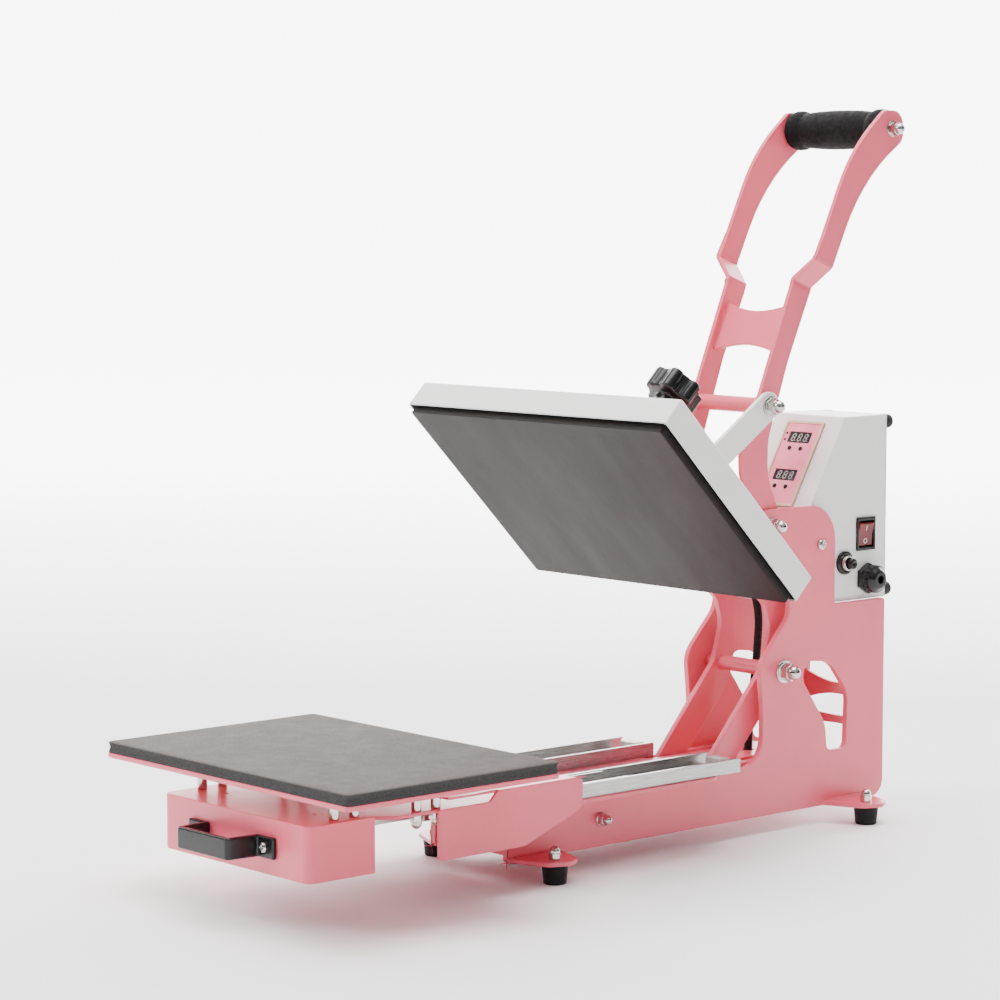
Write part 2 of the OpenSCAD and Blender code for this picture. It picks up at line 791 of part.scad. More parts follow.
// Circuit board behind the overlay, with the relay and terminal block on it.
module control_board() {
    color("green") placed() on_panel() {
        translate([-30, -94, -7.6]) cube([60, 84, 1.6]);
        translate([12, -84, -24]) cube([16, 20, 16.5]);
        translate([-26, -90, -18]) cube([12, 30, 10.5]);
    }
}

module button_at(i) {
    color("black") placed() on_panel() translate([button_spots[i].x, -button_spots[i].y, -4])
        cylinder(h = 6.6, r = 2);
}

module button_1() {
    button_at(0);
}

module button_2() {
    button_at(1);
}

module button_3() {
    button_at(2);
}

module button_4() {
    button_at(3);
}

module switch_bezel() {
    color("black") placed() translate([box_half, switch_at.x, switch_at.y]) difference() {
        union() {
            translate([0.02, -13, -16]) cube([2.2, 26, 32]);
            translate([-22, -12, -14.3]) cube([22.1, 24, 28.6]);
        }
        translate([-14, -10.4, -12.4]) cube([20, 20.8, 24.8]);
        translate([-3.5, 0, 0]) rotate([90, 0, 0]) cylinder(h = 30, r = 1.5 + fit, center = true);
    }
}

// Rocker with its pivot pins, drawn pressed in at its lower end.
module power_rocker() {
    color("darkred") placed() translate([box_half - 3.5, switch_at.x, switch_at.y]) rotate([90, 8, 0]) {
        cylinder(h = 22.8, r = 1.5, center = true);
        translate([0, 0, -10.1]) linear_extrude(20.2) polygon([
            [-5, -4], [2.2, -11.4], [5.4, -11], [4.4, 0], [5.4, 11], [2.2, 11.4], [-5, 4]
        ]);
    }
}

module fuse_holder() {
    color("black") placed() translate([box_half, fuse_at.x, fuse_at.y]) rotate([0, 90, 0]) {
        translate([0, 0, -20]) cylinder(h = 20.1, r = 7.9);
        translate([0, 0, 0.02]) cylinder(h = 3, r = 11.2);
        translate([0, 0, 2.9]) cylinder(h = 5, r = 7);
        translate([0, 0, 7.8]) cylinder(h = 6, r = 5);
    }
}

// Hexagonal gland with its dome nut and a bore for the supply cord.
module cord_gland() {
    color("black") placed() translate([box_half, gland_at.x, gland_at.y]) rotate([0, 90, 0]) difference() {
        union() {
            translate([0, 0, -9]) cylinder(h = 9.1, r = 8.9);
            translate([0, 0, 0.02]) cylinder(h = 5, r = 15.2, $fn = 6);
            translate([0, 0, 4.9]) cylinder(h = 9, r = 12.6);
            translate([0, 0, 13.8]) cylinder(h = 5, r1 = 12.4, r2 = 8);
        }
        translate([0, 0, -10]) cylinder(h = 40, r = 4);
    }
}

// ---- Heater cable ----

// Tube swept along points that lie roughly in one vertical plane.
module cable_tube(path, r) {
    sides = 8;
    last = len(path) - 1;
    function heading(i) = unit(path[min(i + 1, last)] - path[max(i - 1, 0)]);
    function side(t) = unit(cross(t, [0.9, 0.1, 0.2]));
    rings = [for (i = [0:last]) each
        let (t = heading(i), a = side(t), b = cross(t, a))
        [for (k = [0:sides - 1]) path[i] + r * (cos(45 * k) * a + sin(45 * k) * b)]];
    polyhedron(rings, concat(
        [[for (k = [0:sides - 1]) sides - 1 - k]],
        [[for (k = [0:sides - 1]) last * sides + k]],
        [for (i = [0:last - 1], k = [0:sides - 1])
            [i * sides + k, i * sides + (k + 1) % sides, (i + 1) * sides + (k + 1) % sides, (i + 1) * sides + k]]
    ));
}

// From beside the pivot tube down through the deck, back under it, and up into the control box.
fixed_route = [
    [0, 331, 150.7], [0, 329, 135], [0, 326, 115], [0, 323, 92], [0, 322, 72], [0, 322, 60],
    [0, 326, 51], [0, 338, 46], [-6, 356, 44], [-18, 378, 44], [-27, 398, 45], [-32, 412, 50],
    [-32, 418, 60], [-32, 418, 72], [-32, 420, 100], [-32, 421, 140], [-32, 420, 180], [-32, 418, 205],
    [-32, 418, 214]
];
// From the top of the cover, over the pivot tube, drawn shut around the main pivot.
swing_route = [
    [0, -158, 0], [0, -158, 12], [0, -154, 24], [0, -143, 34], [0, -126, 41], [0, -104, 47],
    [0, -80, 54], [0, -56, 58], [0, -36, 55], [0, -18, 44], [0, -4, 29], [0, 6, 17], [0, 10.4, 10.9]
];

module heater_cable_fixed() {
    color("black") placed() cable_tube(fixed_route, cable_r);
}

module heater_cable_swing() {
    color("black") placed() swung_open() cable_tube(swing_route, cable_r);
}

// ---- Output, one line per node ----

side_plate_right();
side_plate_left();
rubber_feet();
foot_cap_nuts();
slide_base_plate();
frame_ties();
slide_outer_members();
slide_bumpers();
spring_anchor_bolt();
counter_springs();
draw_rods();
main_pivot_bolt();
handle_pivot_bolt();
box_screws();
control_box();
control_box_back();
rear_bumpers();
control_panel();
display_modules();
control_board();
switch_bezel();
fuse_holder();
cord_gland();
heater_cable_fixed();
swing_arm_right();
swing_arm_left();
pivot_tube();
tail_pins();
pressure_yoke();
heater_cable_swing();
upper_cover();
heat_plate();
insulation_frame();
thrust_plate();
cover_screws();
pressure_screw();
pressure_knob();
handle_bar_right();
handle_bar_left();
handle_cross_plate();
handle_spacer_tube();
link_bolt();
grip_rod();
foam_grip();
toggle_link_right();
toggle_link_left();
slide_middle_members();
slide_inner_members();
carriage();
drawer_box();
drawer_pull();
pull_screws();
pad_posts();
lower_tray();
silicone_pad();
power_rocker();
button_1();
button_2();
button_3();
button_4();
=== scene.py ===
"""Looks of the heat press: camera, light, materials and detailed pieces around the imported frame.

Lengths are metres in the row frame. Press coordinates, used for places on the object, are millimetres with
Y counted from the front feet, as in the part's source.
"""

import json
import math

import bmesh
import bpy
from mathutils import Matrix, Vector

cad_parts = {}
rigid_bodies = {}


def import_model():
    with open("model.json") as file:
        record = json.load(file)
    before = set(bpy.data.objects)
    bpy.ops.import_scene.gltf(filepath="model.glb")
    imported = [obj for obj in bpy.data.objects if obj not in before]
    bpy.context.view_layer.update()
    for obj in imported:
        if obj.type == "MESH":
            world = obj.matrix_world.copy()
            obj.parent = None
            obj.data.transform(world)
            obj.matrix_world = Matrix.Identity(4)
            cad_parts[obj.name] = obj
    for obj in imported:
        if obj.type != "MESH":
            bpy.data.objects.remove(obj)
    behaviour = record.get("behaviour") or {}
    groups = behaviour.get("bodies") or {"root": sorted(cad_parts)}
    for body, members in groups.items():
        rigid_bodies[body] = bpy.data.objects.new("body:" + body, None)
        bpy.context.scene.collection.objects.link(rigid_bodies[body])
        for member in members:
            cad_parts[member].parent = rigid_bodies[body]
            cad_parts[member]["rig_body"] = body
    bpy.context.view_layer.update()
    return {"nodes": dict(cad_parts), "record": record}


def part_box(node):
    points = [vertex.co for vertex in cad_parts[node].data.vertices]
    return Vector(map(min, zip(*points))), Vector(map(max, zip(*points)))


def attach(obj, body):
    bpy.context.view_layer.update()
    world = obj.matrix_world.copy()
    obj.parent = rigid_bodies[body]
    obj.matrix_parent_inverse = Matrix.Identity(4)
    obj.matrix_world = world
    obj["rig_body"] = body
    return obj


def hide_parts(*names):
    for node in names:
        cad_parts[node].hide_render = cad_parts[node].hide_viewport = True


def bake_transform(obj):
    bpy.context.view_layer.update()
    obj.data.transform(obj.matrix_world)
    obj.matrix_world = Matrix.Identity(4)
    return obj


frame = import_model()

# Places on the press: (y, z) in press coordinates, millimetres.
Y_ORIGIN = 77.5                 # press Y of the row frame's origin
MAIN_PIVOT = (316.0, 151.0)
LINK_PIVOT = (294.6, 400.2)
YOKE_AT = (213.2, 345.6)
GRIP_AT = (442.5, 656.5)
HANDLE_TIE_AT = (322.0, 470.0)
BOX_SCREW_AT = (365.3, 266.6)
PANEL_TOP = (403.8, 385.0)
SWITCH_AT = (433.5, 272.0)
FUSE_AT = (404.0, 246.0)
GLAND_AT = (436.0, 229.0)
SPRING_ANCHOR = (81.0, 42.0)
SPRING_X = 16.0

# Distances of faces from the middle plane.
PLATE_OUT = 51.0
GAP_HALF = 45.0
BOX_SIDE = 44.98
BAR_IN = 39.5
ARM_IN, ARM_OUT = 28.5, 34.5
LINK_OUT = 50.5

# Angles in degrees, and the platen's middle behind the main pivot.
OPEN_ANGLE = 45.2
PANEL_LEAN = 60.0
HANDLE_TIE_LEAN = 24.0
SPRING_TILT = 5.7458
ROCKER_LEAN = 8.0
PLATEN_MID = -254.5

CAMERA_TURN = 48.44
BACKDROP_WAY = (-0.748, 0.663, 0)


# ---- Places ----

def at(x, y, z):
    """Press coordinates in millimetres, as a point of the row frame in metres."""
    return Vector((x, y - Y_ORIGIN, z)) / 1000


def on_swing(x, y, z):
    """A point drawn with the platen shut, relative to the main pivot, moved to the open position."""
    turn = math.radians(-OPEN_ANGLE)
    open_y = y * math.cos(turn) - z * math.sin(turn)
    open_z = y * math.sin(turn) + z * math.cos(turn)
    return at(x, MAIN_PIVOT[0] + open_y, MAIN_PIVOT[1] + open_z)


PLATEN_NORMAL = (on_swing(0, 0, 1000) - on_swing(0, 0, 0)).normalized()
PLATEN_BACK = (on_swing(0, 1000, 0) - on_swing(0, 0, 0)).normalized()


# ---- Camera, light and floor ----

def add_camera():
    data = bpy.data.cameras.new("camera")
    data.lens = 113.2
    data.sensor_width = 36
    data.clip_end = 50
    camera = bpy.data.objects.new("camera", data)
    camera.location = at(2052.6, -1813.9, 587.7)
    camera.rotation_euler = (math.radians(90 - 5.42), math.radians(-0.08), math.radians(CAMERA_TURN))
    bpy.context.scene.collection.objects.link(camera)
    bpy.context.scene.camera = camera


def area_light(name, place, target, size, power):
    data = bpy.data.lights.new(name, "AREA")
    data.shape = "RECTANGLE"
    data.size, data.size_y = size
    data.energy = power
    light = bpy.data.objects.new(name, data)
    light.location = place
    light.rotation_euler = (Vector(target) - Vector(place)).to_track_quat("-Z", "Y").to_euler()
    bpy.context.scene.collection.objects.link(light)


def add_studio():
    """A grey surround with a dark band at the horizon, for metal to mirror, and four soft lights."""
    world = bpy.data.worlds.new("studio")
    world.use_nodes = True
    tree = world.node_tree
    split = tree.nodes.new("ShaderNodeSeparateXYZ")
    tree.links.new(tree.nodes.new("ShaderNodeTexCoord").outputs["Generated"], split.inputs["Vector"])
    ramp = tree.nodes.new("ShaderNodeValToRGB")
    levels = [(0.0, 0.5), (0.05, 0.06), (0.30, 0.10), (0.55, 0.6), (1.0, 0.7)]
    while len(ramp.color_ramp.elements) < len(levels):
        ramp.color_ramp.elements.new(0.5)
    for element, (position, level) in zip(ramp.color_ramp.elements, levels):
        element.position = position
        element.color = (level, level, level, 1)
    tree.links.new(split.outputs["Z"], ramp.inputs["Fac"])
    sky = tree.nodes["Background"]
    tree.links.new(ramp.outputs["Color"], sky.inputs["Color"])
    sky.inputs["Strength"].default_value = 1.0
    bpy.context.scene.world = world
    area_light("key", (-1.5, -2.8, 2.4), (0, 0, 0.3), (1.8, 1.4), 85)
    area_light("top", (-0.1, 0.1, 3.4), (0, 0, 0.2), (2.8, 2.8), 235)
    area_light("side", (3.2, -0.4, 1.3), (0, 0.1, 0.3), (1.2, 1.6), 3)
    area_light("rim", (-1.0, 3.0, 1.8), (0, 0, 0.3), (2.0, 1.4), 16)


def add_floor():
    """A level floor that sweeps up into a backdrop far behind."""
    half, reach, radius, steps = 14.0, 9.0, 3.0, 16
    profile = [(-reach, 0.0), (0.0, 0.0), (reach - radius, 0.0)]
    for i in range(1, steps + 1):
        rise = math.pi / 2 * i / steps
        profile.append((reach - radius + radius * math.sin(rise), radius - radius * math.cos(rise)))
    profile.append((reach, 9.0))
    turn = math.radians(CAMERA_TURN)
    away = Vector((-math.sin(turn), math.cos(turn), 0))
    across = Vector((away.y, -away.x, 0))
    mesh = bpy.data.meshes.new("floor")
    verts = [away * d + across * side + Vector((0, 0, z)) for d, z in profile for side in (-half, half)]
    faces = [(2 * i, 2 * i + 1, 2 * i + 3, 2 * i + 2) for i in range(len(profile) - 1)]
    mesh.from_pydata(verts, [], faces)
    floor = bpy.data.objects.new("floor", mesh)
    mesh.materials.append(floor_material())
    for face in mesh.polygons:
        face.use_smooth = True
    bpy.context.scene.collection.objects.link(floor)


# ---- Materials ----

class Shader:
    """A material with a principled shader, and short ways of adding procedural detail to it."""

    def __init__(self, name, colour, roughness, metallic=0.0, coat=0.0, specular=0.5):
        self.material = bpy.data.materials.new(name)
        self.material.use_nodes = True
        self.tree = self.material.node_tree
        self.shader = self.tree.nodes["Principled BSDF"]
        self.shader.inputs["Base Color"].default_value = (*colour, 1)
        self.shader.inputs["Roughness"].default_value = roughness
        self.shader.inputs["Metallic"].default_value = metallic
        self.shader.inputs["Coat Weight"].default_value = coat
        self.shader.inputs["Coat Roughness"].default_value = 0.18
        self.shader.inputs["Specular IOR Level"].default_value = specular
        self.place = self.tree.nodes.new("ShaderNodeTexCoord").outputs["Object"]
        self.height = None

    def link(self, a, b):
        self.tree.links.new(a, b)

    def stretched(self, scale):
        node = self.tree.nodes.new("ShaderNodeMapping")
        node.inputs["Scale"].default_value = scale
        self.link(self.place, node.inputs["Vector"])
        return node.outputs["Vector"]

    def noise(self, scale, detail=3.0, roughness=0.55, stretch=None):
        node = self.tree.nodes.new("ShaderNodeTexNoise")
        node.inputs["Scale"].default_value = scale
        node.inputs["Detail"].default_value = detail
        node.inputs["Roughness"].default_value = roughness
        self.link(self.stretched(stretch) if stretch else self.place, node.inputs["Vector"])
        return node.outputs["Fac"]

    def cells(self, scale):
        node = self.tree.nodes.new("ShaderNodeTexVoronoi")
        node.inputs["Scale"].default_value = scale
        self.link(self.place, node.inputs["Vector"])
        return node.outputs["Distance"]

    def remap(self, value, low, high, to_low, to_high):
        node = self.tree.nodes.new("ShaderNodeMapRange")
        node.inputs["From Min"].default_value = low
        node.inputs["From Max"].default_value = high
        node.inputs["To Min"].default_value = to_low
        node.inputs["To Max"].default_value = to_high
        self.link(value, node.inputs["Value"])
        return node.outputs["Result"]

    def rough(self, value, low, high, rough_low, rough_high):
        self.link(self.remap(value, low, high, rough_low, rough_high), self.shader.inputs["Roughness"])

    def tint(self, value, stops):
        """Colours the surface by a value. stops are (position, colour)."""
        node = self.tree.nodes.new("ShaderNodeValToRGB")
        ramp = node.color_ramp
        while len(ramp.elements) < len(stops):
            ramp.elements.new(0.5)
        for element, (position, colour) in zip(ramp.elements, stops):
            element.position = position
            element.color = (*colour, 1)
        self.link(value, node.inputs["Fac"])
        self.link(node.outputs["Color"], self.shader.inputs["Base Color"])

    def bump(self, value, depth, strength=1.0):
        """Adds relief of the given depth in metres on top of any relief so far."""
        node = self.tree.nodes.new("ShaderNodeBump")
        node.inputs["Distance"].default_value = depth
        node.inputs["Strength"].default_value = strength
        self.link(value, node.inputs["Height"])
        if self.height is not None:
            self.link(self.height, node.inputs["Normal"])
        self.height = node.outputs["Normal"]
        self.link(self.height, self.shader.inputs["Normal"])


def scaled(colour, k):
    return tuple(min(1.0, c * k) for c in colour)


def powder_coat(name, colour, roughness=0.36):
    """Powder coat: fine orange peel, a slow change of shade and gloss, and faint rubbing marks."""
    s = Shader(name, colour, roughness, coat=0.22)
    s.tint(s.noise(9, 4), [(0.3, scaled(colour, 0.965)), (0.7, scaled(colour, 1.02))])
    s.rough(s.noise(38, 5, 0.7), 0.3, 0.7, roughness - 0.05, roughness + 0.07)
    s.bump(s.noise(620, 2, 0.4), 0.00005, 0.22)
    s.bump(s.noise(170, 2, 0.5), 0.00008, 0.12)
    return s.material


def plated(name, colour, roughness):
    """Plated steel: fine lines from machining, smudges in the polish, and tiny pits."""
    s = Shader(name, colour, roughness, metallic=1.0)
    s.tint(s.noise(60, 4), [(0.3, scaled(colour, 0.86)), (0.7, colour)])
    s.rough(s.noise(240, 5, 0.7), 0.3, 0.75, roughness * 0.6, roughness * 1.7)
    s.bump(s.noise(260, 3, 0.6, stretch=(1, 1, 4)), 0.00003, 0.25)
    s.bump(s.cells(900), 0.00002, 0.15)
    return s.material


def zinc(name, colour):
    """Rolled, zinc-plated strip: long streaks along the slide and a faint crystal pattern."""
    s = Shader(name, colour, 0.34, metallic=1.0)
    s.tint(s.noise(160, 5, 0.6, stretch=(6, 0.25, 6)),
           [(0.3, scaled(colour, 0.72)), (0.72, scaled(colour, 1.15))])
    s.rough(s.noise(420, 4, 0.7, stretch=(5, 0.2, 5)), 0.3, 0.7, 0.22, 0.44)
    s.bump(s.noise(700, 3, 0.6, stretch=(4, 0.12, 4)), 0.00003, 0.35)
    return s.material


def moulded(name, colour, roughness, texture=0.00004, specular=0.5):
    """Moulded plastic or rubber: fine grain, uneven gloss and slight flow marks."""
    s = Shader(name, colour, roughness, specular=specular)
    s.tint(s.noise(30, 4), [(0.3, scaled(colour, 0.8)), (0.7, scaled(colour, 1.25))])
    s.rough(s.noise(90, 5, 0.7), 0.3, 0.7, roughness * 0.8, min(1.0, roughness * 1.2))
    s.bump(s.noise(700, 3, 0.6), texture, 0.5)
    s.bump(s.noise(14, 2), 0.0002, 0.08)
    return s.material


def coated_plate(name):
    """Non-stick coating of the heat plate: fine speckle, faint wiping marks."""
    dark, pale = (0.010, 0.0075, 0.0068), (0.020, 0.016, 0.0145)
    s = Shader(name, dark, 0.45, specular=0.16)
    s.tint(s.noise(1100, 3, 0.7), [(0.32, dark), (0.68, pale)])
    s.rough(s.noise(26, 5, 0.65, stretch=(1, 0.3, 0.3)), 0.3, 0.7, 0.42, 0.50)
    s.bump(s.noise(1500, 2, 0.5), 0.00003, 0.4)
    return s.material


def silicone_top(name):
    """Silicone sponge: a fine closed-cell speckle in warm grey."""
    dark, mid, pale = (0.050, 0.042, 0.039), (0.090, 0.076, 0.071), (0.20, 0.18, 0.17)
    s = Shader(name, mid, 0.85, specular=0.15)
    s.tint(s.noise(1300, 4, 0.8), [(0.30, dark), (0.52, mid), (0.74, pale)])
    s.rough(s.noise(60, 4), 0.3, 0.7, 0.76, 0.94)
    s.bump(s.cells(1100), 0.00016, 0.5)
    s.bump(s.noise(900, 3, 0.7), 0.00012, 0.4)
    return s.material


def silicone_side(name):
    """The cut edge of the sponge: darker, with open cells."""
    s = Shader(name, (0.035, 0.033, 0.033), 0.9, specular=0.25)
    s.tint(s.noise(900, 4, 0.8), [(0.3, (0.018, 0.017, 0.017)), (0.75, (0.075, 0.07, 0.07))])
    s.bump(s.cells(900), 0.0003, 0.6)
    return s.material


def foam(name):
    """Foam grip: a matt skin full of small closed cells."""
    s = Shader(name, (0.010, 0.009, 0.009), 0.85, specular=0.12)
    s.tint(s.noise(420, 4, 0.7), [(0.3, (0.003, 0.003, 0.003)), (0.75, (0.010, 0.009, 0.009))])
    s.rough(s.noise(200, 4), 0.3, 0.7, 0.62, 0.86)
    s.bump(s.cells(1000), 0.00022, 0.45)
    s.bump(s.noise(300, 3), 0.0002, 0.3)
    return s.material


def braided(name):
    """Woven glass sleeve of the heater cable."""
    s = Shader(name, (0.01, 0.01, 0.01), 0.7, specular=0.2)
    s.tint(s.noise(800, 3), [(0.35, (0.006, 0.006, 0.006)), (0.7, (0.025, 0.025, 0.025))])
    s.bump(s.cells(850), 0.0004, 0.7)
    return s.material


def glowing_red(name):
    """Translucent red plastic of the rocker."""
    s = Shader(name, (0.30, 0.002, 0.006), 0.2, specular=0.4)
    s.tint(s.noise(60, 3), [(0.3, (0.10, 0.001, 0.003)), (0.7, (0.20, 0.002, 0.006))])
    s.bump(s.noise(500, 2), 0.00003, 0.2)
    return s.material


def clear_plastic(name):
    """Milky polypropylene of the slides' end stops."""
    s = Shader(name, (0.62, 0.62, 0.60), 0.3)
    s.shader.inputs["Transmission Weight"].default_value = 0.35
    s.shader.inputs["Subsurface Weight"].default_value = 0.2
    s.tint(s.noise(80, 3), [(0.3, (0.52, 0.52, 0.50)), (0.7, (0.70, 0.70, 0.68))])
    s.bump(s.noise(400, 3), 0.00006, 0.3)
    return s.material


def floor_material():
    """Matt white floor. Far from the object it is a lit backdrop."""
    s = Shader("floor_paint", (0.93, 0.93, 0.93), 0.85, specular=0.1)
    s.tint(s.noise(2, 3), [(0.3, (0.925, 0.925, 0.925)), (0.7, (0.935, 0.935, 0.935))])
    reach = s.tree.nodes.new("ShaderNodeVectorMath")
    reach.operation = "DOT_PRODUCT"
    reach.inputs[1].default_value = BACKDROP_WAY
    s.link(s.place, reach.inputs[0])
    s.shader.inputs["Emission Color"].default_value = (1, 1, 1, 1)
    s.link(s.remap(reach.outputs["Value"], 0.9, 4.0, 0.0, 6.0), s.shader.inputs["Emission Strength"])
    return s.material


PINK = (0.80, 0.108, 0.165)
WHITE = (0.80, 0.79, 0.775)
MATERIALS = {
    "pink_paint": powder_coat("pink_powder_coat", PINK),
    "light_paint": powder_coat("white_powder_coat", WHITE, 0.42),
    "plated_steel": plated("nickel_plate", (0.60, 0.575, 0.54), 0.13),
    "slide_steel": zinc("zinc_strip", (0.46, 0.46, 0.45)),
    "plate_coating": coated_plate("plate_coating"),
    "silicone": silicone_top("silicone_sponge"),
    "silicone_edge": silicone_side("silicone_edge"),
    "foam": foam("grip_foam"),
    "black_rubber": moulded("black_rubber", (0.008, 0.008, 0.008), 0.62, 0.00008, specular=0.2),
    "black_plastic": moulded("black_plastic", (0.006, 0.006, 0.006), 0.24, 0.00003, specular=0.35),
    "pale_plastic": clear_plastic("milky_plastic"),
    "insulation": moulded("insulation_board", (0.008, 0.008, 0.008), 0.8, 0.0001, specular=0.1),
    "red_plastic": glowing_red("red_rocker"),
    "display": moulded("display_window", (0.016, 0.014, 0.016), 0.25, 0.00001, specular=0.4),
    "board_green": moulded("circuit_board", (0.02, 0.14, 0.05), 0.4),
    "cable_sleeve": braided("cable_sleeve"),
    "panel_overlay": moulded("panel_film", (0.95, 0.22, 0.33), 0.5, 0.00002),
    "pale_gold": moulded("pale_gold_frame", (0.62, 0.47, 0.32), 0.42),
    "segment": moulded("segment_print", (0.42, 0.41, 0.40), 0.5, 0.00001),
    "mark": moulded("mark_print", (0.75, 0.72, 0.70), 0.5, 0.00001),
}


# ---- Shared shapes ----

def finished(piece, body, slot, replaced=()):
    """Gives a piece its body, and the material of its slot if it has none yet, and hides the CAD nodes it
    stands for.
    """
    if not piece.data.materials:
        piece.data.materials.append(MATERIALS[slot])
    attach(piece, body)
    if replaced:
        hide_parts(*replaced)
    return piece


def new_object(name, mesh):
    piece = bpy.data.objects.new(name, mesh)
    bpy.context.scene.collection.objects.link(piece)
    return piece


def applied(piece):
    """The piece with its modifiers turned into mesh."""
    depsgraph = bpy.context.evaluated_depsgraph_get()
    mesh = bpy.data.meshes.new_from_object(piece.evaluated_get(depsgraph))
    piece.modifiers.clear()
    piece.data = mesh
    return piece


def cut_away(piece, tool):
    """Takes the tool's shape out of the piece, and the tool out of the scene."""
    cut = piece.modifiers.new("cut", "BOOLEAN")
    cut.operation = "DIFFERENCE"
    cut.solver = "EXACT"
    cut.object = tool
    applied(piece)
    bpy.data.objects.remove(tool)


SHARP, FACET = math.radians(30), math.radians(2)
RIM_FACET = 0.0013


def mark_sharp_edges(mesh):
    """Marks the edges to round: all sharp ones, apart from the rims of small holes."""
    bm = bmesh.new()
    bm.from_mesh(mesh)
    layer = bm.edges.layers.float.get("bevel_weight_edge") or bm.edges.layers.float.new("bevel_weight_edge")
    for edge in bm.edges:
        if len(edge.link_faces) != 2 or edge.calc_face_angle(0) < SHARP:
            continue
        short = edge.calc_length() < RIM_FACET
        hollow = any(other is not edge and len(other.link_faces) == 2 and not other.is_convex
                     and FACET < other.calc_face_angle(0) < SHARP
                     for face in edge.link_faces for other in face.edges)
        edge[layer] = 0.0 if short and hollow else 1.0
        edge.smooth = not (short and hollow)
    bm.to_mesh(mesh)
    bm.free()


def with_soft_edges(piece, width):
    """Rounds the sharp edges of a piece and keeps its flat faces flat in shading."""
    mark_sharp_edges(piece.data)
    bevel = piece.modifiers.new("bevel", "BEVEL")
    bevel.width = width
    bevel.segments = 3
    bevel.limit_method = "WEIGHT"
    bevel.use_clamp_overlap = False
    bevel.loop_slide = False
    weigh = piece.modifiers.new("weigh", "WEIGHTED_NORMAL")
    weigh.keep_sharp = True
    weigh.weight = 100
    return applied(piece)


def clean_copy(node):
    """A copy of a CAD node's mesh with its doubled corners joined, ready for rounding."""
    bm = bmesh.new()
    bm.from_mesh(frame["nodes"][node].data)
    bmesh.ops.remove_doubles(bm, verts=bm.verts, dist=2e-6)
    for face in bm.faces:
        face.smooth = True
    mesh = bpy.data.meshes.new(node)
    bm.to_mesh(mesh)
    bm.free()
    return mesh


def dressed(node, slot, edge):
    """Stands for a CAD node with the same shape, its edges rounded to the given radius."""
    piece = new_object(node + "_shell", clean_copy(node))
    body = frame["nodes"][node]["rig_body"]
    with_soft_edges(piece, edge / 1000)
    return finished(piece, body, slot, [node])


# ---- The object ----

NODE_SLOT = {s["node"]: s["material_slot"] for s in frame["record"]["subparts"]}

# Radius of the rounded edges in millimetres, by material slot, and for nodes that differ from their slot.
EDGES = {
    "pink_paint": 0.8, "light_paint": 1.0, "plated_steel": 0.35, "slide_steel": 0.3, "plate_coating": 0.8,
    "black_rubber": 0.8, "black_plastic": 0.8, "pale_plastic": 0.8, "insulation": 0.4, "red_plastic": 0.8,
    "display": 0.3, "board_green": 0.3, "panel_overlay": 0.3,
}
NODE_EDGES = {
    "pressure_knob": 2.2, "drawer_pull": 1.6, "rear_bumpers": 1.6, "rubber_feet": 1.2, "upper_cover": 1.2,
    "button_1": 0.6, "button_2": 0.6, "button_3": 0.6, "button_4": 0.6, "cord_gland": 0.9,
}

# Nodes that get a shape of their own below.
MADE_HERE = {
    "silicone_pad", "foam_grip", "heater_cable_fixed", "heater_cable_swing", "counter_springs",
    "box_screws", "cover_screws", "pull_screws", "fuse_holder", "pressure_screw",
}


# ---- Mesh tools: shapes in millimetres, put in place by a matrix ----

def facing(origin, z_axis, x_axis=None):
    """Matrix that takes millimetres, with Z along z_axis, to the row frame with its origin at a point."""
    z = Vector(z_axis).normalized()
    x = Vector(x_axis) if x_axis else (Vector((1, 0, 0)) if abs(z.x) < 0.9 else Vector((0, 1, 0)))
    y = z.cross(x).normalized()
    x = y.cross(z)
    turn = Matrix((x, y, z)).transposed().to_4x4()
    return Matrix.Translation(origin) @ turn @ Matrix.Scale(0.001, 4)


IN_METRES = Matrix.Identity(4)
ON_PANEL = facing(at(0, *PANEL_TOP), (0, -math.sin(math.radians(PANEL_LEAN)), 0.5), (1, 0, 0))


def on_side(place):
    """Matrix for a shape that stands on the right side of the control box."""
    return facing(at(BOX_SIDE, *place), (1, 0, 0), (0, 1, 0))


def circle(radius, steps):
    """Outline of a circle, or of a polygon with a corner on X."""
    turns = [2 * math.pi * k / steps for k in range(steps)]
    return [(radius * math.cos(turn), radius * math.sin(turn)) for turn in turns]


class Build:
    """Gathers shapes into one mesh, each with a material number."""

    def __init__(self):
        self.verts, self.faces, self.marks = [], [], []

    def add(self, shape, place, mark=0):
        verts, faces = shape
        base = len(self.verts)
        self.verts += [place @ Vector(v) for v in verts]
        self.faces += [tuple(base + i for i in face) for face in faces]
        self.marks += [mark] * len(faces)

    def piece(self, name, slots, smooth=True):
        mesh = bpy.data.meshes.new(name)
        mesh.from_pydata(self.verts, [], self.faces)
        for slot in slots:
            mesh.materials.append(MATERIALS[slot])
        for face, mark in zip(mesh.polygons, self.marks):
            face.material_index = mark
            face.use_smooth = smooth
        bm = bmesh.new()
        bm.from_mesh(mesh)
        bmesh.ops.recalc_face_normals(bm, faces=bm.faces)
        bm.to_mesh(mesh)
        bm.free()
        return new_object(name, mesh)


